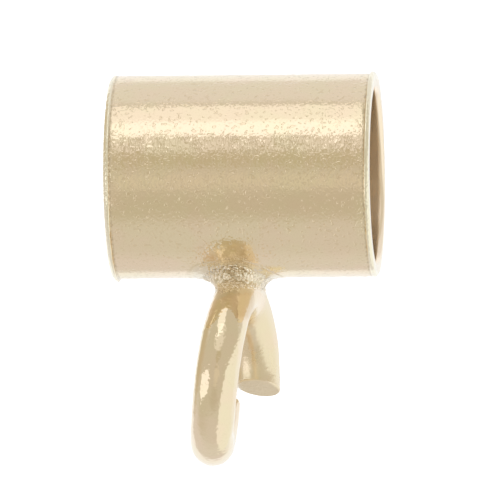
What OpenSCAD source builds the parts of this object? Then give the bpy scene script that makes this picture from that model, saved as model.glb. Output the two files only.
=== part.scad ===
// Clip-on slider bead: a short open tube with a sprung wire ring soldered to its side.
// Millimetres. The origin is the middle of the hole, +X runs along the hole, and the bead
// lies on its side: both end lips and the ring's far strand touch the surface below it.

/* [Barrel] */
// Length of the barrel, end to end
barrel_len = 7.9; // [5:0.1:12]
// Outside diameter of the barrel's wall
barrel_od = 6.05; // [5.9:0.05:7]
// Diameter of the hole that the cord slides through
bore_d = 5.2; // [4:0.05:5.3]
// Height of the lip at each end above the barrel's wall
lip_h = 0.05; // [0.02:0.01:0.2]
// Width of each lip along the barrel
lip_w = 0.2; // [0.15:0.01:0.5]
// Radius on both edges of each mouth
mouth_r = 0.06; // [0.02:0.01:0.1]

/* [Ring] */
// Thickness of the ring's round wire
wire_d = 1.29; // [0.8:0.01:1.5]
// Inside diameter of the ring
ring_id = 3.06; // [2.4:0.02:4]
// Place of the ring's seat along the barrel, from its middle
ring_at = -0.125; // [-2:0.005:2]
// Depth that the ring is filed into the barrel's wall
ring_sink = 0.03; // [0.01:0.01:0.1]
// Half of the sideways distance that the ring's ends are sprung apart
spring = 0.65; // [0.1:0.05:0.9]
// Angle round the ring, from the seat, at which it leans most
spring_mid = 50; // [0:5:90]
// Angle of the end that stops short on the lower strand
low_end = -103; // [-120:1:-90]
// Angle of the end that comes up behind the upper strand
high_end = 250; // [200:1:252]

/* [Solder] */
// Half width of the solder's foot along the barrel
foot_x = 1.5; // [1:0.02:1.7]
// Half width of the solder's foot round the barrel
foot_z = 1.85; // [1.2:0.05:2.1]
// Half width of the solder's neck along the barrel
neck_x = 0.7; // [0.5:0.02:0.76]
// Half width of the solder's neck round the barrel
neck_z = 0.8; // [0.5:0.05:0.95]
// Height of the neck above the barrel's wall
neck_h = 0.52; // [0.3:0.02:0.6]
// Sideways lean of the foot from the ring's seat
foot_lean = -0.05; // [-0.2:0.01:0.2]
// Depth of the foot's edge under the barrel's surface, so that it comes out at an angle
foot_dip = 0.05; // [0.03:0.01:0.08]

/* [Hidden] */

// Segments of the true curves, sides of the wire and steps round the ring and the solder
curve_fn = 96;
wire_sides = 16;
ring_steps = 60;
solder_sides = 32;
solder_steps = 5;

metal = [0.86, 0.78, 0.62];

barrel_r = barrel_od / 2;
bore_r = bore_d / 2;
lip_r = barrel_r + lip_h;
wire_r = wire_d / 2;
ring_r = ring_id / 2 + wire_r;
ring_outer_r = ring_r + wire_r;
// Distance from the middle of the hole to the ring's middle
reach = barrel_r + ring_outer_r - ring_sink;
// The bead rolls until the ring's far strand meets the plane under the lips
loop_dip = asin((lip_r - ring_outer_r) / reach);
// Depth of the solder's buried face under the barrel's surface
root = 0.35 * (barrel_r - bore_r);

function flat(groups) = [for (group = groups) each group];
function average(values) = values * [for (v = values) 1] / len(values);
function middle(points) = [for (axis = [0:2]) average([for (p = points) p[axis]])];
function unit(v) = v / norm(v);

// A closed solid through rings of points, with each end closed to its middle
module loft(rings) {
  count = len(rings);
  sides = len(rings[0]);
  last = count - 1;
  points = concat(flat(rings), [middle(rings[0])], [middle(rings[last])]);
  first_hub = count * sides;
  last_hub = first_hub + 1;
  walls = [for (i = [0:last - 1], j = [0:sides - 1])
    let (k = (j + 1) % sides, a = i * sides, b = a + sides)
    each [[a + j, b + k, a + k], [a + j, b + j, b + k]]];
  first_face = [for (j = [0:sides - 1]) [first_hub, j, (j + 1) % sides]];
  last_face = [for (j = [0:sides - 1])
    [last_hub, last * sides + (j + 1) % sides, last * sides + j]];
  polyhedron(points = points, faces = concat(walls, first_face, last_face), convexity = 6);
}

// Half section of the barrel's wall: x is the radius, y runs along the barrel
module wall_section() {
  half = barrel_len / 2;
  difference() {
    union() {
      translate([bore_r, -half]) square([barrel_r - bore_r, barrel_len]);
      for (side = [-1, 1])
        translate([bore_r, side * (half - lip_w / 2) - lip_w / 2])
          square([lip_r - bore_r, lip_w]);
    }
    for (side = [-1, 1]) {
      round_off([lip_r, side * half], [-1, -side]);
      round_off([bore_r, side * half], [1, -side]);
    }
  }
}

// Takes a corner off a section and leaves a quarter round; toward points into the metal
module round_off(corner, toward) {
  centre = corner + mouth_r * toward;
  spare = mouth_r / 2;
  difference() {
    translate(corner - spare * toward + (mouth_r + spare) / 2 * toward)
      square(mouth_r + spare, center = true);
    translate(centre) circle(r = mouth_r, $fn = curve_fn);
  }
}

module barrel() {
  color(metal)
    rotate([0, 90, 0])
      rotate_extrude($fn = curve_fn) wall_section();
}

// Middle of the wire at an angle round the ring: 0 at the seat, rising over the top strand
function ring_x(angle) = ring_at - spring * (sin((angle - spring_mid) / 2) + sin(spring_mid / 2));
function ring_middle(angle) =
  [ring_x(angle), ring_r * cos(angle) - reach, ring_r * sin(angle)];
function ring_heading(angle) = unit(ring_middle(angle + 0.5) - ring_middle(angle - 0.5));

// The wire's round section, square to its run
function wire_section(angle) =
  let (out = [0, cos(angle), sin(angle)], across = cross(ring_heading(angle), out))
  [for (j = [0:wire_sides - 1])
    let (turn = 360 * j / wire_sides)
    ring_middle(angle) + wire_r * (cos(turn) * out + sin(turn) * across)];

module open_ring() {
  color(metal)
    loft([for (i = [0:ring_steps])
      wire_section(low_end + (high_end - low_end) * i / ring_steps)]);
}

// One level of the solder: its half widths and its height above the barrel's surface
function solder_level(half_x, half_z, height, lean) =
  [for (j = [0:solder_sides - 1])
    let (
      turn = 360 * j / solder_sides,
      z = half_z * sin(turn)
    )
    [ring_at + lean + half_x * cos(turn), -sqrt(pow(barrel_r, 2) - pow(z, 2)) - height, z]];

// Solder drawn up between the barrel and the ring in a hollow curve
module solder() {
  buried = solder_level(foot_x, foot_z, -root, foot_lean);
  levels = [for (i = [0:solder_steps])
    let (turn = 90 * i / solder_steps, in = sin(turn))
    solder_level(foot_x + (neck_x - foot_x) * in, foot_z + (neck_z - foot_z) * in,
      (neck_h + foot_dip) * (1 - cos(turn)) - foot_dip, foot_lean * (1 - in))];
  color(metal) loft(concat([buried], levels));
}

module slider_bead() {
  rotate([loop_dip, 0, 0]) {
    barrel();
    solder();
    open_ring();
  }
}

slider_bead();
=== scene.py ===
"""Looks of the clip-on slider bead: one fused metal piece that stands for the CAD solid.

The piece is built in millimetres in the barrel's own axes: X runs along the hole, and the ring hangs
toward -Y. It is then rolled and scaled to metres, as the frame has it.
"""

import math
from collections import namedtuple

import bmesh
import bpy
import numpy as np
from mathutils import Matrix, Vector, noise


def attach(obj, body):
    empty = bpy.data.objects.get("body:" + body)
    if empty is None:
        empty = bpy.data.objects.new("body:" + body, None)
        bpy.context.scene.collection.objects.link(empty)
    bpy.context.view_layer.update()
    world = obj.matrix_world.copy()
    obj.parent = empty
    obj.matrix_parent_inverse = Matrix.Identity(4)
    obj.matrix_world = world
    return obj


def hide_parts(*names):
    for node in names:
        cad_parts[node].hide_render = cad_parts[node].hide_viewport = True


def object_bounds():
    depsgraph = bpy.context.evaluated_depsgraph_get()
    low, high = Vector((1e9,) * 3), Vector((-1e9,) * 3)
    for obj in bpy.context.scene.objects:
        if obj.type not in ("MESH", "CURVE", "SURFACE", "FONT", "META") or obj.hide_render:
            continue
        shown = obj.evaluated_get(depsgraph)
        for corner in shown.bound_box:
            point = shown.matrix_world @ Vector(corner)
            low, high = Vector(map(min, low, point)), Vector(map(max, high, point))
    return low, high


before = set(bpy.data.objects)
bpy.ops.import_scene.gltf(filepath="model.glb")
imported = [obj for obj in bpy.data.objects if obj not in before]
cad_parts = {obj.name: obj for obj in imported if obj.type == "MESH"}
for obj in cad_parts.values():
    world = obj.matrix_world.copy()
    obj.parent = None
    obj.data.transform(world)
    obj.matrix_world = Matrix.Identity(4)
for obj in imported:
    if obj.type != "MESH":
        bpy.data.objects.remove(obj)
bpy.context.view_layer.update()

MM = 0.001

# Sizes in millimetres and angles in degrees, as in the part's source
BARREL_LEN = 7.9
BARREL_R = 6.05 / 2
BORE_R = 5.2 / 2
LIP_H = 0.05
WIRE_R = 1.29 / 2
RING_R = 3.06 / 2 + WIRE_R
RING_AT = -0.125
RING_SINK = 0.03
SPRING = 0.65
SPRING_MID = 50
LOW_END = -103
HIGH_END = 250
RING_OUTER_R = RING_R + WIRE_R
REACH = BARREL_R + RING_OUTER_R - RING_SINK
LOOP_DIP = math.asin((BARREL_R + LIP_H - RING_OUTER_R) / REACH)

# Mesh fineness: points round a section, steps along a piece in millimetres, and numbers of sections
AROUND = 288
BODY_STEP = 0.11
BORE_STEP = 0.22
WIRE_SIDES = 84
RING_STEPS = 300
SOLDER_SIDES = 220
SOLDER_LEVELS = 36

# Seeds of the noises and of the random dents
SEED = {
    "wave": 3,
    "nick": 5,
    "dents": 7,
    "foot": 11,
    "lump": 21,
    "swell": 22,
    "flat": 31,
    "ripple": 32,
    "nip": 33,
}

# Increment, lacunarity and octaves of every noise, and how far each step of its seed shifts it
NOISE_KIND = (1.0, 2.0, 2)
SEED_SHIFT = (17.3, -9.1, 5.7)


def smooth(edge0, edge1, x):
    """0 at edge0, 1 at edge1, with no corner at either."""
    t = np.clip((np.asarray(x, float) - edge0) / (edge1 - edge0), 0, 1)
    return t * t * (3 - 2 * t)


def between(fade_in, fade_out, x):
    """1 inside a band, which fades in over one span of x and out over another."""
    return smooth(*fade_in, x) * smooth(*reversed(fade_out), x)


def noise_at(points, size, seed):
    """Smooth noise from about -1 to 1 at each point; size is the width of a lump in millimetres."""
    shift = Vector([step * seed for step in SEED_SHIFT])
    return np.array([noise.fractal(Vector(p) / size + shift, *NOISE_KIND) for p in points])


def turns_round(count):
    """Angles of so many points round a circle, in radians."""
    return np.arange(count) * 2 * math.pi / count


def capped_faces(count, sides):
    """Faces of a loft through so many rings of points, closed at each end to a hub that follows the rings."""
    faces = []
    for i in range(count - 1):
        for j in range(sides):
            k = (j + 1) % sides
            faces.append((i * sides + j, (i + 1) * sides + j, (i + 1) * sides + k, i * sides + k))
    last = (count - 1) * sides
    first_hub, last_hub = count * sides, count * sides + 1
    for j in range(sides):
        k = (j + 1) % sides
        faces.append((first_hub, j, k))
        faces.append((last_hub, last + k, last + j))
    return faces


# The barrel

# Finer forms than the part's source has: the mouth's flare, the crest's rounding, the power that bevels the
# crest, and the left lip's greater width
MOUTH_R = 0.13
CREST_R = 0.11
LEFT_BEVEL = 1.55
RIGHT_BEVEL = 1.0
LEFT_LIP_WIDER = 0.015

# Distances from the end of the bore's last rows, and the rows round the mouth, up the flat face and over
# the crest
BORE_ROWS = (0.30, 0.20)
MOUTH_STEPS = 8
FACE_SHARES = (0.25, 0.5, 0.75)
CREST_STEPS = 10

# Share of the lip's uneven height that the foot of its crest takes
CREST_UNEVEN = 0.35

# The lip's foot and the shallow groove beside it: distance from the end, height over the wall, and share
# of the lip's uneven height
LIP_FOOT = (
    (0.125, LIP_H - 0.003, 1.0),
    (0.140, LIP_H - 0.018, 0.8),
    (0.152, 0.012, 0.35),
    (0.163, -0.004, 0.0),
    (0.174, -0.009, 0.0),
    (0.187, -0.007, 0.0),
    (0.205, -0.003, 0.0),
    (0.235, 0.0, 0.0),
)

# How much higher than LIP_H the left (-1) and the right (1) lip stand, as shares of it: at most on the side
# away from the ring, and at most on the ring's side
LIP_GROWTH = {-1: (-0.5, 0.9), 1: (0.45, -0.8)}

# Widths and heights of the drawn tube's broad waves and of the nicks on the lips, the radii over which both
# begin, and the distances from the end over which the nicks take over
WAVE = 1.6
WAVE_H = 0.005
NICK = 0.16
LEFT_NICK_H = 0.0025
RIGHT_NICK_H = 0.006
OUTSIDE_SPAN = (BORE_R + 0.1, BARREL_R - 0.05)
NEAR_END_SPAN = (0.25, 0.1)


def end_profile(wider, bevel):
    """Half section of one end, from the bore round the mouth and over the lip to the body.

    Rows of distance from the end, radius, and share of the lip's uneven height that the row takes.
    """
    rows = [(distance, BORE_R, 0.0) for distance in BORE_ROWS]
    for turn in np.radians(np.linspace(0, 90, MOUTH_STEPS)):
        rows.append((MOUTH_R * (1 - np.sin(turn)), BORE_R + MOUTH_R * (1 - np.cos(turn)), 0.0))
    face_low = BORE_R + MOUTH_R
    face_top = BARREL_R + LIP_H - CREST_R
    for share in FACE_SHARES:
        rows.append((0.0, face_low + share * (face_top - face_low), 0.0))
    for turn in np.radians(np.linspace(0, 90, CREST_STEPS)):
        inward, upward = np.cos(turn) ** bevel, np.sin(turn) ** bevel
        share = CREST_UNEVEN + (1 - CREST_UNEVEN) * upward
        rows.append((CREST_R * (1 - inward), face_top + CREST_R * upward, share))
    for distance, height, share in LIP_FOOT:
        rows.append((distance + wider, BARREL_R + height, share))
    return rows


def plain_rows(start, end, step, radius):
    """Rows of the section between two places along the barrel, where its radius stays the same."""
    count = round(abs(end - start) / step)
    return [(x, radius, 0.0, 0) for x in np.linspace(start, end, count + 1)[1:-1]]


def lip_growth(side, around):
    """Share of LIP_H by which a lip stands higher, round the barrel: the left one has a burr by the ring."""
    away, beside = LIP_GROWTH[side]
    from_ring = np.cos(around)
    return away * np.maximum(from_ring, 0) + beside * np.maximum(-from_ring, 0)


def uneven(verts):
    """The drawn tube isn't quite true: broad shallow waves outside, and small nicks on the lips."""
    radius = np.hypot(verts[:, 1], verts[:, 2])
    outside = smooth(*OUTSIDE_SPAN, radius)
    near_end = smooth(*NEAR_END_SPAN, BARREL_LEN / 2 - np.abs(verts[:, 0]))
    waves = noise_at(verts, WAVE, SEED["wave"]) * WAVE_H * (1 - near_end)
    nick_h = np.where(verts[:, 0] < 0, LEFT_NICK_H, RIGHT_NICK_H)
    nicks = noise_at(verts, NICK, SEED["nick"]) * nick_h * near_end
    out = verts.copy()
    out[:, 1:] *= (1 + (waves + nicks) * outside / radius)[:, None]
    return out


def barrel_mesh():
    """Closed lathe: rings of points round X, in order round the wall's section."""
    half = BARREL_LEN / 2
    left_end = end_profile(LEFT_LIP_WIDER, LEFT_BEVEL)
    right_end = end_profile(0.0, RIGHT_BEVEL)
    section = [(-half + distance, radius, share, -1) for distance, radius, share in left_end]
    section += plain_rows(-half + left_end[-1][0], half - right_end[-1][0], BODY_STEP, BARREL_R)
    section += [(half - distance, radius, share, 1) for distance, radius, share in reversed(right_end)]
    section += plain_rows(half - BORE_ROWS[0], -half + BORE_ROWS[0], BORE_STEP, BORE_R)
    around = turns_round(AROUND)
    rows = []
    for x, radius, share, side in section:
        if share:
            radius = radius + share * LIP_H * lip_growth(side, around)
        rows.append(np.stack([np.full(AROUND, x), radius * np.cos(around), radius * np.sin(around)], 1))
    count, faces = len(section), []
    for i in range(count):
        k = (i + 1) % count
        for j in range(AROUND):
            m = (j + 1) % AROUND
            faces.append((i * AROUND + j, i * AROUND + m, k * AROUND + m, k * AROUND + j))
    return uneven(np.concatenate(rows)), faces


# The ring

# Sideways bends of the wire's low and high end, and the angles over which they grow
LOW_BEND = 0.05
LOW_BEND_SPAN = (-55, -108)
HIGH_BEND = 0.04
HIGH_BEND_SPAN = (195, 250)

# The two cuts: angle round the ring, way into the wire, how much shorter the cut is than the end, and its
# slants away from the ring's middle and sideways
Cut = namedtuple("Cut", "angle into short slant_out slant_across")
CUTS = (Cut(LOW_END, 1, 0.08, -0.12, 0.15), Cut(HIGH_END, -1, 0.05, 0.06, -0.05))

# How far into the wire a slanted cut draws the sections along, and its broken edge
CUT_REACH = 0.9
CUT_EDGE = 0.06

# The bare face of a cut: its shift away from the ring's middle, and the depth and the radius over which it
# ends
CUT_FACE_OUT = 0.045
CUT_FACE_DEPTH = (0.045, 0.015)
CUT_FACE_R = (WIRE_R, WIRE_R * 0.92)

# Sections of a cut face, as shares of the wire's radius, the shares over which the worked wire takes over,
# and steps over the broken edge
FACE_RINGS = (0.1, 0.2, 0.3, 0.4, 0.5, 0.6, 0.7, 0.78, 0.84)
FACE_TO_WIRE = (0.8, 1.0)
EDGE_STEPS = 7

# Degrees round the ring to a millimetre along the wire's middle
DEGREES_PER_MM = math.degrees(1 / RING_R)

# Widths and heights of the wire's flats and ripples and of the nipped faces' roughness
FLAT = 0.5
FLAT_H = 0.006
RIPPLE = 0.12
RIPPLE_H = 0.0025
NIP = 0.11
NIP_H = 0.007

# Depth to which the wire is dressed down beside the solder, and the distances from the wall over which that
# fades out and the marks fade in
DRESSED = 0.02
DRESSED_SPAN = (2.4, 1.4)
WORKED_SPAN = (0.5, 1.0)

# Marks of the pliers: angle round the ring, turn round the wire, width and depth. Those listed show in the
# photo; the others are drawn from the spans.
Dent = namedtuple("Dent", "angle turn width depth")
DENTS = (
    Dent(148, -88, 0.34, 0.035),
    Dent(149, -22, 0.09, 0.008),
    Dent(152, -18, 0.07, 0.007),
    Dent(128, 30, 0.16, 0.006),
)
DENT_SPANS = Dent((25, 215), (-95, 95), (0.06, 0.16), (0.002, 0.005))
DENT_COUNT = 34


def ring_x(angle):
    """Sideways place of the wire's middle: the ring is sprung open, so it runs like a thread."""
    sprung = np.sin(np.radians(angle - SPRING_MID) / 2) + math.sin(math.radians(SPRING_MID) / 2)
    bends = HIGH_BEND * smooth(*HIGH_BEND_SPAN, angle) - LOW_BEND * smooth(*LOW_BEND_SPAN, angle)
    return RING_AT - SPRING * sprung + bends


def ring_middle(angle):
    """Middle of the wire at an angle round the ring: 0 at the seat, rising over the upper strand."""
    a = np.radians(angle)
    return np.stack([ring_x(angle), RING_R * np.cos(a) - REACH, RING_R * np.sin(a)], -1)


def ring_frame(angle):
    """Unit vectors along the wire, away from the ring's middle, and sideways."""
    heading = ring_middle(angle + 0.5) - ring_middle(angle - 0.5)
    heading /= np.linalg.norm(heading)
    a = math.radians(angle)
    out = np.array([0.0, math.cos(a), math.sin(a)])
    across = np.cross(heading, out)
    across /= np.linalg.norm(across)
    return heading, out, across


def cut_shift(cut, into_out, into_across):
    """How far the slanted cut lies inside the wire's end, at a place in the wire's section."""
    return cut.short + cut.slant_out * into_out + cut.slant_across * into_across


def ring_row(angle, scale):
    """One round section of the wire, drawn along with the slanted cut where it is near an end."""
    turns = turns_round(WIRE_SIDES)
    heading, out, across = ring_frame(angle)
    into_out, into_across = scale * WIRE_R * np.cos(turns), scale * WIRE_R * np.sin(turns)
    points = ring_middle(angle) + into_out[:, None] * out + into_across[:, None] * across
    for cut in CUTS:
        from_end = abs(angle - cut.angle) / DEGREES_PER_MM
        fade = max(0.0, 1 - from_end / CUT_REACH)
        points += (cut.into * fade * cut_shift(cut, into_out, into_across))[:, None] * heading
    return points


def dents():
    """The dents that show in the photo, and random ones."""
    random = np.random.RandomState(SEED["dents"])
    return DENTS + tuple(Dent(*(random.uniform(*span) for span in DENT_SPANS)) for _ in range(DENT_COUNT))


def worked(points):
    """How far the wire's surface stands proud: flats, fine ripples and dents, which fade at the solder."""
    from_wall = np.hypot(points[:, 1], points[:, 2]) - BARREL_R
    proud = FLAT_H * noise_at(points, FLAT, SEED["flat"])
    proud += RIPPLE_H * noise_at(points, RIPPLE, SEED["ripple"])
    proud -= DRESSED * smooth(*DRESSED_SPAN, from_wall)
    for dent in dents():
        out, across = ring_frame(dent.angle)[1:]
        turn = math.radians(dent.turn)
        place = ring_middle(dent.angle) + WIRE_R * (math.cos(turn) * out + math.sin(turn) * across)
        near = ((points - place) ** 2).sum(1) / dent.width**2
        proud -= dent.depth * np.exp(-near)
    return proud * smooth(*WORKED_SPAN, from_wall)


def end_stations(cut):
    """Angles and scales of the sections that close the wire at a cut, from the middle out over its edge."""
    stations = [(cut.angle, share) for share in FACE_RINGS]
    for turn in np.radians(np.linspace(0, 90, EDGE_STEPS))[:-1]:
        inset = CUT_EDGE * (1 - math.sin(turn))
        back = CUT_EDGE * (1 - math.cos(turn)) * DEGREES_PER_MM
        stations.append((cut.angle + cut.into * back, 1 - inset / WIRE_R))
    return stations


def ring_mesh():
    """The swept wire, with its ends nipped off at a slant and their edges broken."""
    low, high = CUTS
    edge = CUT_EDGE * DEGREES_PER_MM
    body = [(angle, 1.0) for angle in np.linspace(LOW_END + edge, HIGH_END - edge, RING_STEPS)]
    stations = end_stations(low) + body + end_stations(high)[::-1]
    angles, scales = zip(*stations)
    verts = np.concatenate([ring_row(angle, scale) for angle, scale in stations])
    spokes = verts - np.repeat([ring_middle(angle) for angle in angles], WIRE_SIDES, 0)
    spokes /= np.linalg.norm(spokes, axis=1)[:, None]
    whole = np.repeat(smooth(*FACE_TO_WIRE, scales), WIRE_SIDES)
    verts += spokes * (worked(verts) * whole)[:, None]
    nipped = NIP_H * noise_at(verts, NIP, SEED["nip"]) * (1 - whole)
    half = len(stations) // 2 * WIRE_SIDES
    for part, cut in ((slice(half), low), (slice(half, None), high)):
        verts[part] += nipped[part, None] * ring_frame(cut.angle)[0]
    hubs = [verts[:WIRE_SIDES].mean(0), verts[-WIRE_SIDES:].mean(0)]
    return np.concatenate([verts, hubs]), capped_faces(len(stations), WIRE_SIDES)


def cut_face(points):
    """1 on the wire's two bare cut faces, 0 elsewhere."""
    share = np.zeros(len(points))
    for cut in CUTS:
        heading, out, across = ring_frame(cut.angle)
        spoke = points - ring_middle(cut.angle)
        inside = cut.into * (spoke @ heading) - cut_shift(cut, spoke @ out, spoke @ across)
        off_middle = np.hypot(spoke @ out - CUT_FACE_OUT, spoke @ across)
        here = smooth(*CUT_FACE_DEPTH, np.abs(inside)) * smooth(*CUT_FACE_R, off_middle)
        share = np.maximum(share, here)
    return share


# The soldered joint

# How far the hollow curve reaches up the wire, and how much further it runs along the wall
FILLET = 0.56
WALL_SPREAD = 1.35

# How uneven that reach is round the seat, how wide the lumps of that noise are on a circle of radius 1, and
# how much longer the reach gets toward the left end
FOOT_UNEVEN = 0.16
FOOT_LUMP = 0.5
FOOT_LEFT = 0.30
FOOT_LEFT_SPAN = (0.2, 1.0)

# Hollowness of the curve; height, run and buried depth of its thin edge; and depth of the buried ends, which
# lie at a share of the curve's reach
HOLLOW = 3.2
EDGE_H = 0.006
EDGE_RUN = 0.035
EDGE_SUNK = 0.014
BURIED = 0.16
BURIED_SHARE = 0.9

# The places where the buried ends close, and a place inside the solder
SOLDER_HUBS = ((RING_AT, -BARREL_R + BURIED, 0), (RING_AT, RING_R - REACH + 0.1, 0))
SOLDER_INSIDE = (RING_AT, -BARREL_R - 0.2, 0)

# Widths and heights of the solder's lumps and broader swellings, and the levels over which they fade
LUMP = 0.11
LUMP_H = 0.017
SWELL = 0.3
SWELL_H = 0.014
LUMPY_LEVELS = (0.95, 0.45)

# Span and halvings of the search for a place on the solder, and points of the wire's middle line, which are
# searched in steps and for so many places at once
SEARCH = (0.05, 2.4)
HALVINGS = 26
LINE_STEP = 4
BATCH = 4000
RING_LINE = ring_middle(np.linspace(LOW_END, HIGH_END, 1400))


def wire_distance(points):
    """Distance outside the wire's round surface, measured from its middle line."""
    out = np.empty(len(points))
    for at in range(0, len(points), BATCH):
        part = points[at : at + BATCH]
        gap = ((part[:, None, :] - RING_LINE[None, ::LINE_STEP, :]) ** 2).sum(2)
        near = np.clip(gap.argmin(1) * LINE_STEP, LINE_STEP, len(RING_LINE) - LINE_STEP - 1)
        window = RING_LINE[near[:, None] + np.arange(-LINE_STEP, LINE_STEP + 1)[None, :]]
        out[at : at + BATCH] = np.sqrt(((part[:, None, :] - window) ** 2).sum(2).min(1))
    return out - WIRE_R


def meet(turns, wall, wire):
    """Where, in each direction round the seat, a point is so far outside the wall and outside the wire."""
    low, high = (np.full(len(turns), limit) for limit in SEARCH)

    def place(out):
        z = out * np.sin(turns)
        return np.stack([RING_AT + out * np.cos(turns), -np.sqrt((BARREL_R + wall) ** 2 - z**2), z], 1)

    for _ in range(HALVINGS):
        middle = (low + high) / 2
        outside = wire_distance(place(middle)) > wire
        high = np.where(outside, middle, high)
        low = np.where(outside, low, middle)
    return place((low + high) / 2)


def solder_reach(turns):
    """How far the solder's hollow curve reaches up the wire, in each direction round the seat."""
    compass = np.stack([np.cos(turns), np.sin(turns), np.zeros(len(turns))], 1)
    ragged = FOOT_UNEVEN * noise_at(compass, FOOT_LUMP, SEED["foot"])
    return FILLET * (1 + ragged + FOOT_LEFT * smooth(*FOOT_LEFT_SPAN, -np.cos(turns)))


def loft_normals(verts, sides, inside):
    """Unit normals at the points of a loft, away from a place inside it."""
    grid = verts.reshape(-1, sides, 3)
    lengthways = np.gradient(grid, axis=0)
    crossways = (np.roll(grid, -1, 1) - np.roll(grid, 1, 1)) / 2
    normals = np.cross(crossways, lengthways).reshape(-1, 3)
    normals /= np.linalg.norm(normals, axis=1)[:, None]
    return normals * np.sign((normals * (verts - inside)).sum(1).mean())


def solder_mesh():
    """A closed loft: from inside the wall, out over a low edge, up the hollow curve and into the wire."""
    turns = turns_round(SOLDER_SIDES)
    reach = solder_reach(turns)
    along = WALL_SPREAD * reach
    levels = np.linspace(-1, 1, SOLDER_LEVELS)
    rows = [meet(turns, -BURIED, BURIED_SHARE * along), meet(turns, -EDGE_SUNK, along + EDGE_RUN)]
    for level in levels:
        low = (1 - abs(level)) ** 2 * reach / HOLLOW + EDGE_H
        if level < 0:
            rows.append(meet(turns, low, low - level * along))
        else:
            rows.append(meet(turns, low + level * reach, low))
    rows += [meet(turns, reach + EDGE_RUN, -EDGE_SUNK), meet(turns, BURIED_SHARE * reach, -BURIED)]
    verts = np.concatenate(rows)
    lumpy = np.concatenate([[0, 0], smooth(*LUMPY_LEVELS, np.abs(levels)), [0, 0]]).repeat(SOLDER_SIDES)
    lumps = LUMP_H * noise_at(verts, LUMP, SEED["lump"]) + SWELL_H * noise_at(verts, SWELL, SEED["swell"])
    normals = loft_normals(verts, SOLDER_SIDES, np.array(SOLDER_INSIDE))
    verts += normals * (lumpy * lumps)[:, None]
    return np.concatenate([verts, SOLDER_HUBS]), capped_faces(len(rows), SOLDER_SIDES)


# The fused mesh


def new_mesh(name, verts, faces):
    """A mesh whose faces all look outward."""
    mesh = bpy.data.meshes.new(name)
    mesh.from_pydata([tuple(v) for v in verts], [], faces)
    mesh.validate()
    bm = bmesh.new()
    bm.from_mesh(mesh)
    bmesh.ops.recalc_face_normals(bm, faces=bm.faces)
    bm.to_mesh(mesh)
    bm.free()
    return mesh


def new_object(name, data):
    """An object in the scene's own collection."""
    obj = bpy.data.objects.new(name, data)
    bpy.context.scene.collection.objects.link(obj)
    return obj


def fuse(base, *others):
    """One closed mesh of solids that cross each other."""
    for other in others:
        union = base.modifiers.new("fuse", "BOOLEAN")
        union.operation = "UNION"
        union.solver = "EXACT"
        union.object = other
    bpy.context.view_layer.update()
    return bpy.data.meshes.new_from_object(base.evaluated_get(bpy.context.evaluated_depsgraph_get()))


def bead_mesh():
    """The barrel, the ring and the solder as one mesh, in millimetres and the barrel's own axes."""
    made = {"barrel_blank": barrel_mesh(), "ring_blank": ring_mesh(), "solder_blank": solder_mesh()}
    blanks = [new_object(name, new_mesh(name, *parts)) for name, parts in made.items()]
    fused = fuse(*blanks)
    for blank in blanks:
        data = blank.data
        bpy.data.objects.remove(blank)
        bpy.data.meshes.remove(data)
    fused.name = "bead_metal"
    return fused


# Masks: where each mark and colour of the metal is

# Each mask fades over spans. WALL and WIRE are distances outside the barrel's wall and the ring's wire, and
# END is one from the barrel's end, all in millimetres, as places are. TILT is in degrees round the barrel
# from the side that faces up, positive away from the ring.

# The ring's wire, where it is clear of the wall, and the barrel's hole
RING_WIRE = (0.05, -0.02)
RING_WALL = (-0.02, 0.06)
BORE_SPAN = (BORE_R + 0.12, BORE_R + 0.02)

# On the barrel's skin, a streaked strip between the lips, and a band whose flecks get darker toward the right
SKIN = (0.03, 0.01)
STRIP_TILT = ((9.0, 11.0), (18.6, 20.0))
STRIP_END = (0.2, 0.4)
FRECKLED_TILT = ((-10, -4), (2, 6))
FRECKLED_X = (-2.5, 2.5)

# Smoother metal: the side toward the ring, and the broad highlight, most of all near its middle
CALM_TILT = (-36, -46)
GLOW_TILT = ((20.0, 24.0), (42.0, 46.0))
GLOW_MIDDLE = 0.3
GLOW_OFF_MIDDLE = (2.8, 1.2)

# The stretch at each end where flecks stand higher
RIM_END = (0.6, 0.15)
RIM_WALL = (0.2, 0.0)

# The grooves beside the lips, darkened with painted shade, and the pale lips
GROOVE_IN = (0.14, 0.155)
LEFT_GROOVE_IN = (0.136, 0.147)
GROOVE_OUT = (0.215, 0.19)
GROOVE_DEEP = (-0.05, -0.03)
GROOVE_HIGH = (0.03, 0.01)
LEFT_GROOVE_HIGHER = 0.03
LIP_END = (0.145, 0.125)
LIP_WALL = (-0.16, -0.10)

# The solder, which stands outside both the wall and the wire; the seam where it ends on the wall; and its
# ledge, which lies past the barrel's outline and faces up
POOL_WALL = (0.004, 0.012)
POOL_WIRE = (0.0, 0.03)
POOL_X = (2.6, 2.3)
SEAM_FOOT = (0.06, 0.02)
SEAM_WALL = (0.03, 0.015)
LEDGE_Y = (-3.02, -3.22)
LEDGE_Z = (0.1, 0.8)

# Painted shade where the ring's upper strand mirrors the barrel; the lower strand, dull on its left and right
TOP_SHADE_X = ((-0.12, 0.0), (0.34, 0.42))
TOP_SHADE_Y = (-4.45, -4.25)
TOP_SHADE_Z = (0.8, 1.2)
DULL_LEFT_X = (-0.6, -1.1)
DULL_LEFT_Z = (0.3, -0.6)
DULL_RIGHT_X = (-0.5, -0.2)
DULL_RIGHT_Z = (0.1, -0.5)

# The rough band round the solder ends at a level line on the wire, and its right side is narrower
BAND_WIRE = (0.68, 0.50)
BAND_NARROWER = 0.3
BAND_RIGHT = (-0.2, 0.9)
BAND_Y = (-3.50, -3.34)

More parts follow.
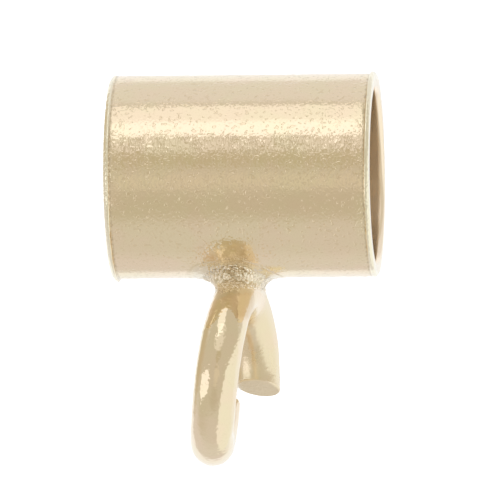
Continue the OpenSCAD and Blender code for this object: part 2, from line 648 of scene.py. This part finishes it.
# The rough outline of the solder's pool is a rounded oblong on the wall: its middle, half its width and half
# its length round the wall, the share of them at which its line lies, and how far the line spreads. It fades
# toward the right.
OBLONG_X = -0.10
OBLONG_HALF_X = 1.02
OBLONG_HALF_ROUND = 2.36
OBLONG_LINE = 0.97
OBLONG_SPREAD = (0.17, 0.04)
OBLONG_LEFT = (0.1, -0.6)
OBLONG_SHARE = 0.5

# Stray grains lie on the wall to the left of the ring
STRAY_WIRE = (1.3, 0.5)
STRAY_LEFT = (0.2, -0.5)
STRAY_ROUND = (1.9, 1.2)
STRAY_SHARE = 0.4

# The outline and the stray grains lie on the wall only, and no grain lies inside it
GRIT_ON_WALL = (0.06, 0.01)
GRIT_NOT_INSIDE = (-0.12, -0.05)


def grit_mask(points, wall, wire):
    """Where the solder froze rough: up to a level line on the wire, and on the left rim of its pool."""
    x = points[:, 0] - RING_AT
    round_wall = BARREL_R * np.arctan2(np.abs(points[:, 2]), -points[:, 1])
    narrowed = wire + BAND_NARROWER * smooth(*BAND_RIGHT, x)
    band = smooth(*BAND_WIRE, narrowed) * smooth(*BAND_Y, points[:, 1])
    oblong = (((x - OBLONG_X) / OBLONG_HALF_X) ** 4 + (round_wall / OBLONG_HALF_ROUND) ** 4) ** 0.25
    outline = smooth(*OBLONG_SPREAD, np.abs(oblong - OBLONG_LINE)) * smooth(*OBLONG_LEFT, x)
    stray = smooth(*STRAY_WIRE, wire) * smooth(*STRAY_LEFT, x) * smooth(*STRAY_ROUND, round_wall)
    on_wall = np.maximum(OBLONG_SHARE * outline, STRAY_SHARE * stray) * smooth(*GRIT_ON_WALL, wall)
    return np.maximum(band, on_wall) * smooth(*GRIT_NOT_INSIDE, wall)


def surface_masks(points):
    """Shares from 0 to 1 at each point of the metal."""
    x, y, z = points.T
    radius = np.hypot(y, z)
    wall, wire = radius - BARREL_R, wire_distance(points)
    tilt = np.degrees(np.arctan2(y, z))
    left = x < 0
    to_end = BARREL_LEN / 2 - np.abs(x)
    from_end = to_end - LEFT_LIP_WIDER * left
    skin = smooth(*SKIN, np.abs(wall))
    ring = smooth(*RING_WIRE, wire) * smooth(*RING_WALL, wall)
    foot = WALL_SPREAD * solder_reach(np.arctan2(z, x - RING_AT))
    groove_in = np.where(left, smooth(*LEFT_GROOVE_IN, from_end), smooth(*GROOVE_IN, from_end))
    groove_high = smooth(*GROOVE_HIGH, wall - LEFT_GROOVE_HIGHER * left)
    dull_left = smooth(*DULL_LEFT_X, x) * smooth(*DULL_LEFT_Z, z)
    dull_right = smooth(*DULL_RIGHT_X, x) * smooth(*DULL_RIGHT_Z, z)
    return {
        "ring": ring,
        "bore": smooth(*BORE_SPAN, radius),
        "cut": cut_face(points),
        "dull": ring * np.maximum(dull_left, dull_right),
        # Painted shade where the ring's upper strand mirrors the barrel
        "strand_top_shade": ring * between(*TOP_SHADE_X, x) * smooth(*TOP_SHADE_Y, y) * smooth(*TOP_SHADE_Z, z),
        "lip": smooth(*LIP_END, from_end) * smooth(*LIP_WALL, wall),
        # Painted shade in the grooves beside the lips
        "groove_shade": groove_in * smooth(*GROOVE_OUT, from_end) * smooth(*GROOVE_DEEP, wall) * groove_high,
        "rim": smooth(*RIM_END, to_end) * smooth(*RIM_WALL, np.abs(wall)),
        "strip": between(*STRIP_TILT, tilt) * skin * smooth(*STRIP_END, from_end),
        "freckled": between(*FRECKLED_TILT, tilt) * skin * smooth(*FRECKLED_X, x),
        "calm": smooth(*CALM_TILT, tilt) * (1 - ring),
        "glow": between(*GLOW_TILT, tilt) * (1 + smooth(*GLOW_OFF_MIDDLE, np.abs(x - GLOW_MIDDLE))) / 2,
        "grit": grit_mask(points, wall, wire),
        "ledge": smooth(*LEDGE_Y, y) * smooth(*LEDGE_Z, z),
        "pool": smooth(*POOL_WALL, wall) * smooth(*POOL_WIRE, wire) * smooth(*POOL_X, np.abs(x - RING_AT)),
        "seam": smooth(*SEAM_FOOT, np.abs(wire - foot)) * smooth(*SEAM_WALL, np.abs(wall)),
    }


mesh = bead_mesh()
masks = surface_masks(np.array([v.co for v in mesh.vertices]))
for name, values in masks.items():
    layer = mesh.attributes.new(name, "FLOAT", "POINT")
    layer.data.foreach_set("value", values.astype(np.float32))
mesh.transform(Matrix.Scale(MM, 4) @ Matrix.Rotation(LOOP_DIP, 4, "X"))
mesh.update()
mesh.polygons.foreach_set("use_smooth", [True] * len(mesh.polygons))
bead = new_object("bead_metal", mesh)

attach(bead, "root")
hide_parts("slider_bead")


# Materials


class Nodes:
    """Short forms for the nodes of one tree."""

    def __init__(self, tree):
        self.tree = tree

    def add(self, kind, **settings):
        node = self.tree.nodes.new(kind)
        for key, value in settings.items():
            setattr(node, key, value)
        return node

    def put(self, socket, value):
        """Links an output to a socket, or sets the socket to a value."""
        if isinstance(value, bpy.types.NodeSocket):
            self.tree.links.new(value, socket)
        elif isinstance(value, tuple) and len(value) == 3 and socket.type == "RGBA":
            socket.default_value = (*value, 1.0)
        else:
            socket.default_value = value

    def math(self, operation, a, b=0.0, clamp=False):
        node = self.add("ShaderNodeMath", operation=operation, use_clamp=clamp)
        self.put(node.inputs[0], a)
        self.put(node.inputs[1], b)
        return node.outputs[0]

    def plus(self, first, *others):
        for other in others:
            first = self.math("ADD", first, other)
        return first

    def times(self, first, *others):
        for other in others:
            first = self.math("MULTIPLY", first, other)
        return first

    def vector(self, operation, a, b=(0.0, 0.0, 0.0)):
        node = self.add("ShaderNodeVectorMath", operation=operation)
        self.put(node.inputs[0], a)
        self.put(node.inputs[1], b)
        return node.outputs[0]

    def dot(self, a, b):
        return self.vector("DOT_PRODUCT", a, b).node.outputs["Value"]

    def scaled(self, vector, factor):
        node = self.add("ShaderNodeVectorMath", operation="SCALE")
        self.put(node.inputs[0], vector)
        self.put(node.inputs["Scale"], factor)
        return node.outputs[0]

    def ramp(self, value, span, to=(0.0, 1.0)):
        """Maps one span to another, smoothly and no further."""
        node = self.add("ShaderNodeMapRange", interpolation_type="SMOOTHSTEP")
        for key, v in zip(("Value", "From Min", "From Max", "To Min", "To Max"), (value, *span, *to)):
            self.put(node.inputs[key], v)
        return node.outputs["Result"]

    def mix(self, share, a, b):
        node = self.add("ShaderNodeMix", data_type="RGBA")
        self.put(node.inputs["Factor"], share)
        self.put(node.inputs["A"], a)
        self.put(node.inputs["B"], b)
        return node.outputs["Result"]

    def mask(self, name):
        return self.add("ShaderNodeAttribute", attribute_name=name).outputs["Fac"]

    def noise(self, place, size_mm, detail=0.0, stretch=(1, 1, 1)):
        """Soft noise from 0 to 1 whose lumps have this width; a stretch above 1 makes them narrower."""
        node = self.add("ShaderNodeTexNoise")
        scaled = self.vector("MULTIPLY", place, tuple(x / (size_mm * MM) for x in stretch))
        self.put(node.inputs["Vector"], scaled)
        node.inputs["Scale"].default_value = 1.0
        node.inputs["Detail"].default_value = detail
        node.inputs["Roughness"].default_value = 0.5
        return node.outputs["Fac"]

    def cells(self, place, size_mm):
        """Small cells of space: for each a random vector from -0.5 to 0.5, and how far its middle is."""
        node = self.add("ShaderNodeTexVoronoi")
        self.put(node.inputs["Vector"], self.vector("MULTIPLY", place, tuple(1 / (x * MM) for x in size_mm)))
        node.inputs["Scale"].default_value = 1.0
        return self.vector("SUBTRACT", node.outputs["Color"], (0.5, 0.5, 0.5)), node.outputs["Distance"]


def material(name):
    """A material with one Principled shader, the short forms for its nodes, and the shader."""
    mat = bpy.data.materials.new(name)
    mat.use_nodes = True
    mat.node_tree.nodes.clear()
    n = Nodes(mat.node_tree)
    out = n.add("ShaderNodeOutputMaterial")
    bsdf = n.add("ShaderNodeBsdfPrincipled")
    n.put(out.inputs["Surface"], bsdf.outputs["BSDF"])
    return mat, n, bsdf


# Colours of the plating and of what lies on it, and of painted light and shade
GOLD = (0.875, 0.775, 0.58)
GOLD_WARM = (0.892, 0.762, 0.592)
# Tarnish of the barrel's flecks and pits, and painted shade on the ring's upper strand
GOLD_TARNISH_AND_SHADE = (0.74, 0.60, 0.42)
GOLD_CUT = (0.85, 0.76, 0.605)
# Plating in the hole, lighter than outside: painted light inside the bore
GOLD_BORE_PAINTED_LIGHT = (0.99, 0.865, 0.71)
LIP_PALE = (0.94, 0.89, 0.735)
# Painted shade in the grooves beside the lips
GROOVE_SHADE = (0.57, 0.48, 0.35)
SOLDER_GOLD = (0.81, 0.73, 0.58)
# Pale solder, partly a painted highlight on grain tops and on the ledge that faces up
SOLDER_PALE_AND_HIGHLIGHT = (1.0, 0.90, 0.76)
# Dark of the solder's seam, and painted shade in the gaps between its grains
SOLDER_DARK = (0.40, 0.28, 0.15)

# Widths of the patterns in millimetres, how the narrow ones are drawn out, and the span of each noise that
# counts as the mark
RAGGED = 0.13
CLUSTER = 0.4
CLUSTER_SPAN = (0.38, 0.6)
CLUSTER_SHARE = (0.3, 1.15)
FLECK = 0.085
FLECK_STRETCH = (1.35, 1.0, 1.0)
FLECK_SPAN = (0.48, 0.76)
PIT = 0.11
PIT_SPAN = (0.66, 0.74)
STREAK = 0.10
STREAK_STRETCH = (1.8, 0.6, 1.0)
STREAK_SPAN = (0.40, 0.62)
BLOTCH = 0.9
BLOTCH_SPAN = (0.36, 0.64)
PATCH = 0.7
GRAIN = 0.08
RING_GRAIN = 0.10
CUT_GRAIN = 0.12

# The solder's grains: their width, the ragged edge of their field, how they thin out toward it, which of them
# are pale, how a grain's pale top and its dark gap lie about its middle, and how round it stands. The pale
# top is partly a painted highlight, and the dark gap is painted shade.
SOLDER_GRAIN = (0.095, 0.12, 0.115)
GRIT_SPAN = (0.86, 1.02)
COARSE_SPAN = (0.3, 1.0)
COARSE_SHARE = (0.3, 1.0)
PALE_KIND = (-0.4, 0.0)
# More grains are pale on the ledge that faces up: painted light
HIGHLIGHT_MORE_ON_LEDGE = 0.6
PALE_HIGHLIGHT_TOP = (0.7, 0.45)
SHADED_GAP = (0.55, 0.75)
GRAIN_DOME = (0.75, 0.0)

# How strongly each mark takes its colour
FLECK_TINT = 0.16
FRECKLED_TINT = 0.25
PIT_TINT = 0.3
# Painted shade on the ring's upper strand
TOP_SHADE_TINT = 0.9
# Painted shade in the gaps between the solder's grains, less of it on the ledge that faces up
GAP_SHADE = 0.3
GAP_SHADE_LESS_ON_LEDGE = 0.2
SEAM_TINT = 0.16
SEAM_RAGGED = ((0.3, 0.6), (0.3, 1.0))
GROOVE_RAGGED = ((0.3, 0.7), (0.15, 0.8))

# Roughness of the metal, what each mask adds to it, and how far it wanders
ROUGH = 0.065
ROUGH_LEAST = 0.05
ROUGH_WANDER = 0.03
ROUGH_MORE = {"bore": 0.14, "dull": 0.24, "calm": 0.04, "cut": 0.32}
ROUGH_SATIN = 0.02
ROUGH_GRIT = 0.06
ROUGH_PALE = 0.14
ROUGH_PALE_LEDGE = 0.06
ROUGH_SEAM = 0.12

# Depth of the bump in millimetres, and the marks' heights as shares of it. Calm metal keeps a share of its
# height, and the glow loses one.
BUMP = 0.014
H_GRAIN = 0.1
H_SATIN = 0.2
H_RING = 0.45
H_STREAK = 1.15
H_FLECK = 0.25
H_FLECK_AT_RIM = 0.35
H_PIT = 0.55
H_CALM = 0.45
H_GLOW_LESS = 0.5
H_SOLDER = 2.3
H_SOLDER_LEDGE = 0.8
H_CUT = 1.8

# How far each solder grain leans its own way, and how far those on the ledge lean up from the barrel's shade
LEAN = 0.3
LEAN_LEDGE = 0.2
LEAN_UP = (0.0, 0.0, 0.5)


def gold_plate():
    """Gold plating: satin on the barrel, brighter on the ring, grainy on the solder and dull on the cuts."""
    mat, n, bsdf = material("gold_plate")
    place = n.add("ShaderNodeTexCoord").outputs["Object"]
    mask = {name: n.mask(name) for name in masks}
    satin = n.math("SUBTRACT", n.math("SUBTRACT", 1.0, mask["ring"]), mask["bore"], clamp=True)

    ragged = n.noise(place, RAGGED, 1.0)
    cluster = n.ramp(n.noise(place, CLUSTER, 1.0), CLUSTER_SPAN, CLUSTER_SHARE)
    flecks = n.times(n.ramp(n.noise(place, FLECK, stretch=FLECK_STRETCH), FLECK_SPAN), cluster, satin)
    pits = n.times(n.ramp(n.noise(place, PIT), PIT_SPAN), satin)
    streaks = n.ramp(n.noise(place, STREAK, stretch=STREAK_STRETCH), STREAK_SPAN)
    streaks = n.times(streaks, mask["strip"], cluster)
    seam = n.times(mask["seam"], n.ramp(ragged, *SEAM_RAGGED))
    # Painted shade in the grooves beside the lips, with a ragged edge
    groove_shade = n.times(mask["groove_shade"], n.ramp(ragged, *GROOVE_RAGGED))

    ledge = mask["ledge"]
    grit = n.ramp(n.plus(mask["grit"], ragged), GRIT_SPAN)
    coarse = n.times(grit, n.ramp(mask["grit"], COARSE_SPAN, COARSE_SHARE))
    lean, off_grain = n.cells(place, SOLDER_GRAIN)
    # Pale grain tops: partly pale solder, partly a painted highlight, more of it on the ledge that faces up
    kind = n.plus(n.dot(lean, (1, 0, 0)), n.times(ledge, HIGHLIGHT_MORE_ON_LEDGE))
    pale_and_highlight = n.times(n.ramp(kind, PALE_KIND), coarse, n.ramp(off_grain, PALE_HIGHLIGHT_TOP))
    # Painted shade in the gaps between the solder's grains, less of it on the ledge
    gap = n.times(n.ramp(off_grain, SHADED_GAP), coarse)
    gap_shade_share = n.math("SUBTRACT", GAP_SHADE, n.times(ledge, GAP_SHADE_LESS_ON_LEDGE))

    fleck_tint = n.plus(n.times(mask["freckled"], FRECKLED_TINT), FLECK_TINT)
    tint = n.mix(n.ramp(n.noise(place, BLOTCH, 2.0), BLOTCH_SPAN), GOLD, GOLD_WARM)
    for share, colour in (
        (n.times(flecks, fleck_tint), GOLD_TARNISH_AND_SHADE),
        (n.times(pits, PIT_TINT), GOLD_TARNISH_AND_SHADE),
        # Lighter plating in the hole: painted light
        (mask["bore"], GOLD_BORE_PAINTED_LIGHT),
        (mask["cut"], GOLD_CUT),
        (mask["lip"], LIP_PALE),
        # Painted shade where the ring's upper strand mirrors the barrel
        (n.times(mask["strand_top_shade"], TOP_SHADE_TINT), GOLD_TARNISH_AND_SHADE),
        (mask["pool"], SOLDER_GOLD),
        # Painted shade in the gaps between the solder's grains
        (n.times(gap, gap_shade_share), SOLDER_DARK),
        (n.times(seam, SEAM_TINT), SOLDER_DARK),
        # Pale grain tops, partly a painted highlight
        (pale_and_highlight, SOLDER_PALE_AND_HIGHLIGHT),
        (groove_shade, GROOVE_SHADE),
    ):
        tint = n.mix(share, tint, colour)
    n.put(bsdf.inputs["Base Color"], tint)

    wander = n.times(n.math("SUBTRACT", n.noise(place, PATCH, 2.0), 0.5), ROUGH_WANDER)
    rough = n.plus(
        ROUGH,
        wander,
        n.times(satin, ROUGH_SATIN),
        n.times(grit, ROUGH_GRIT),
        n.times(pale_and_highlight, ROUGH_PALE),
        n.times(pale_and_highlight, ledge, ROUGH_PALE_LEDGE),
        n.times(seam, ROUGH_SEAM),
        *(n.times(mask[name], more) for name, more in ROUGH_MORE.items()),
    )
    n.put(bsdf.inputs["Roughness"], n.math("MAXIMUM", rough, ROUGH_LEAST))

    height = n.plus(
        n.times(n.noise(place, GRAIN, 1.0), n.plus(n.times(satin, H_SATIN), H_GRAIN)),
        n.times(n.noise(place, RING_GRAIN), mask["ring"], H_RING),
        n.times(streaks, H_STREAK),
        n.times(flecks, n.plus(n.times(mask["rim"], H_FLECK_AT_RIM), H_FLECK)),
        n.times(pits, -H_PIT),
    )
    height = n.times(height, n.ramp(mask["calm"], (0.0, 1.0), (1.0, H_CALM)))
    height = n.times(height, n.math("SUBTRACT", 1.0, n.times(mask["glow"], H_GLOW_LESS)))
    solder_h = n.plus(n.times(ledge, H_SOLDER_LEDGE), H_SOLDER)
    height = n.plus(
        height,
        n.times(n.ramp(off_grain, GRAIN_DOME), coarse, solder_h),
        n.times(n.noise(place, CUT_GRAIN, 1.0), mask["cut"], H_CUT),
    )
    bump = n.add("ShaderNodeBump")
    bump.inputs["Distance"].default_value = BUMP * MM
    bump.inputs["Strength"].default_value = 1.0
    n.put(bump.inputs["Height"], height)
    leaning = n.scaled(lean, n.times(coarse, n.plus(n.times(ledge, LEAN_LEDGE), LEAN)))
    upward = n.scaled(LEAN_UP, n.times(coarse, ledge))
    normal = n.vector("ADD", n.vector("ADD", bump.outputs["Normal"], leaning), upward)
    n.put(bsdf.inputs["Normal"], n.vector("NORMALIZE", normal))
    bsdf.inputs["Metallic"].default_value = 1.0
    return mat


def floor_white():
    """Plain matt white."""
    mat, n, bsdf = material("floor_white")
    n.put(bsdf.inputs["Base Color"], (0.9, 0.9, 0.9))
    n.put(bsdf.inputs["Roughness"], 1.0)
    n.put(bsdf.inputs["Specular IOR Level"], 0.0)
    return mat


mesh.materials.append(gold_plate())

# The photograph's view: angles of the camera in degrees, pixels of the frame, pixels to a millimetre, the
# pixel that shows the origin, the camera's distance in metres and its sensor's width in millimetres
VIEW_TURN = 5.3
VIEW_LEAN = 6.0
VIEW_ROLL = 0.05
FRAME_PX = 500
PX_PER_MM = 33.55
ORIGIN_PX = (245.1, 176.2)
CAMERA_DISTANCE = 0.4
SENSOR_MM = 36.0

turn, lean = math.radians(VIEW_TURN), math.radians(VIEW_LEAN)
toward_camera = Vector((math.sin(turn), -math.cos(turn) * math.sin(lean), math.cos(turn) * math.cos(lean)))
away_from_ring = Vector((0, 1, 0))
view_up = (away_from_ring - away_from_ring.dot(toward_camera) * toward_camera).normalized()
view_right = view_up.cross(toward_camera)


def look(right_deg, up_deg):
    """Unit vector so many degrees right of and above the camera's direction, as seen in its picture."""
    away = math.radians(math.hypot(right_deg, up_deg))
    spin = math.atan2(up_deg, right_deg)
    side = math.cos(spin) * view_right + math.sin(spin) * view_up
    return math.cos(away) * toward_camera + math.sin(away) * side


# The floor

FLOOR_HALF = 2.0
floor_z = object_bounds()[0].z
floor_mesh = bpy.data.meshes.new("floor")
floor_mesh.from_pydata(
    [(x * FLOOR_HALF, y * FLOOR_HALF, floor_z) for x, y in ((-1, -1), (1, -1), (1, 1), (-1, 1))],
    [],
    [(0, 1, 2, 3)],
)
floor_mesh.materials.append(floor_white())
floor = new_object("floor", floor_mesh)
floor.visible_glossy = False

# The room that the metal mirrors. Colours are of the light, above 1 for the white sheet under all. ABOVE is
# toward the picture's top, AHEAD is toward the camera, and each is a share from -1 to 1.
ROOM = (0.66, 0.61, 0.505)
ROOM_LOW = (0.72, 0.68, 0.605)
ROOM_LOW_ABOVE = (-0.55, -1.0)
ROOM_BEHIND = (0.785, 0.74, 0.695)
ROOM_BEHIND_AHEAD = (0.05, -0.45)
ROOM_TOP = (0.845, 0.815, 0.77)
ROOM_TOP_ABOVE = (0.2, 0.6)
ROOM_TOP_AHEAD = (0.06, -0.15)

# The white sheet fills what is behind the bead, and more of that on the right
SHEET = (1.03, 1.03, 1.02)
SHEET_AHEAD = (-0.715, -0.79)
SHEET_RIGHT_SLOPE = 1.35
SHEET_RIGHT = (1.54, 1.66)

# A white card low on the right, with a slanted side and top
CARD = (0.99, 0.98, 0.90)
CARD_SIDE_SLOPE = 0.5
CARD_SIDE = (0.70, 0.75)
CARD_CORNER = 0.72
CARD_TOP_SLOPE = 0.79
CARD_TOP = (-0.02, 0.06)

# Round patches of another tone: degrees right of and above the camera's direction, the radii where each is
# full and where it ends, its share and its colour
Patch = namedtuple("Patch", "right up full end share colour")
PATCHES = (
    Patch(-8, -33, 4, 24, 0.7, (0.59, 0.535, 0.415)),
    Patch(-4, 20, 5, 15, 1.0, (0.59, 0.53, 0.385)),
    Patch(-3, -6, 3, 14, 1.0, (0.74, 0.68, 0.54)),
    Patch(-8, 46, 16, 23, 1.0, (0.865, 0.815, 0.725)),
)
LEFT_PATCH = Patch(-112, 40, 12, 34, 1.0, (0.63, 0.54, 0.395))


def studio():
    """Soft surroundings: a dim room round the camera, a white card low on the right, a sheet under all."""
    world = bpy.data.worlds.new("studio")
    world.use_nodes = True
    n = Nodes(world.node_tree)
    ray = n.add("ShaderNodeTexCoord").outputs["Generated"]
    across, above, ahead = n.dot(ray, view_right), n.dot(ray, view_up), n.dot(ray, toward_camera)

    def patched(room, patch):
        """The room with a patch on it."""
        cosines = tuple(math.cos(math.radians(radius)) for radius in (patch.end, patch.full))
        share = n.times(n.ramp(n.dot(ray, look(patch.right, patch.up)), cosines), patch.share)
        return n.mix(share, room, patch.colour)

    room = n.mix(n.ramp(above, ROOM_LOW_ABOVE), ROOM, ROOM_LOW)
    room = n.mix(n.ramp(ahead, ROOM_BEHIND_AHEAD), room, ROOM_BEHIND)
    room = n.mix(n.times(n.ramp(above, ROOM_TOP_ABOVE), n.ramp(ahead, ROOM_TOP_AHEAD)), room, ROOM_TOP)
    for patch in PATCHES:
        room = patched(room, patch)
    card_side = n.math("SUBTRACT", across, n.times(above, CARD_SIDE_SLOPE))
    past_corner = n.math("SUBTRACT", across, CARD_CORNER)
    card_top = n.math("SUBTRACT", n.times(past_corner, CARD_TOP_SLOPE), above)
    room = n.mix(n.times(n.ramp(card_side, CARD_SIDE), n.ramp(card_top, CARD_TOP)), room, CARD)
    room = patched(room, LEFT_PATCH)
    sheet_right = n.math("SUBTRACT", n.times(across, SHEET_RIGHT_SLOPE), ahead)
    sheet = n.math("MAXIMUM", n.ramp(ahead, SHEET_AHEAD), n.ramp(sheet_right, SHEET_RIGHT))
    room = n.mix(sheet, room, SHEET)
    n.put(world.node_tree.nodes["Background"].inputs["Color"], room)
    bpy.context.scene.world = world


# Share of a light's direction that may lie across the picture before its width runs toward the camera
MOST_ACROSS = 0.7


def softbox(name, right, up, wide, tall, radiance, distance=0.5):
    """A flat light that fills so many degrees, seen from the object, and adds its radiance to the room's."""
    light = bpy.data.lights.new(name, "AREA")
    light.shape = "RECTANGLE"
    light.size = 2 * distance * math.tan(math.radians(wide / 2))
    light.size_y = 2 * distance * math.tan(math.radians(tall / 2))
    light.energy = max(radiance) * math.pi * light.size * light.size_y
    light.color = tuple(c / max(radiance) for c in radiance)
    obj = new_object(name, light)
    toward = look(right, up)
    side = view_right if abs(view_right.dot(toward)) < MOST_ACROSS else -toward_camera
    x = (side - side.dot(toward) * toward).normalized()
    y = toward.cross(x)
    obj.matrix_world = Matrix.Translation(toward * distance) @ Matrix((x, y, toward)).transposed().to_4x4()
    return obj


studio()
softbox("softbox_top", right=-16, up=67, wide=28, tall=40.5, radiance=(0.42, 0.43, 0.465))
softbox("softbox_left", right=-65, up=-10, wide=45, tall=25, radiance=(0.50, 0.52, 0.555))

# Whitens the floor, from behind the camera, and doesn't show in the metal
FILL_RADIANCE = (230.0, 240.0, 265.0)
floor_fill = softbox("floor_fill", right=0, up=0, wide=8, tall=8, radiance=FILL_RADIANCE, distance=0.9)
floor_fill.visible_glossy = False

# The camera

cam_data = bpy.data.cameras.new("camera")
cam_data.sensor_width = SENSOR_MM
cam_data.lens = SENSOR_MM * CAMERA_DISTANCE / (FRAME_PX / PX_PER_MM * MM)
cam_data.clip_start = 0.01
cam_data.clip_end = 50
camera = new_object("camera", cam_data)
tip = math.radians(VIEW_ROLL)
cam_right = view_right * math.cos(tip) + view_up * math.sin(tip)
cam_up = toward_camera.cross(cam_right)
target_px = view_right * (FRAME_PX / 2 - ORIGIN_PX[0]) - view_up * (FRAME_PX / 2 - ORIGIN_PX[1])
cam_place = target_px * (MM / PX_PER_MM) + toward_camera * CAMERA_DISTANCE
camera.matrix_world = (
    Matrix.Translation(cam_place) @ Matrix((cam_right, cam_up, toward_camera)).transposed().to_4x4()
)
scene = bpy.context.scene
scene.camera = camera
scene.view_settings.view_transform = "Standard"
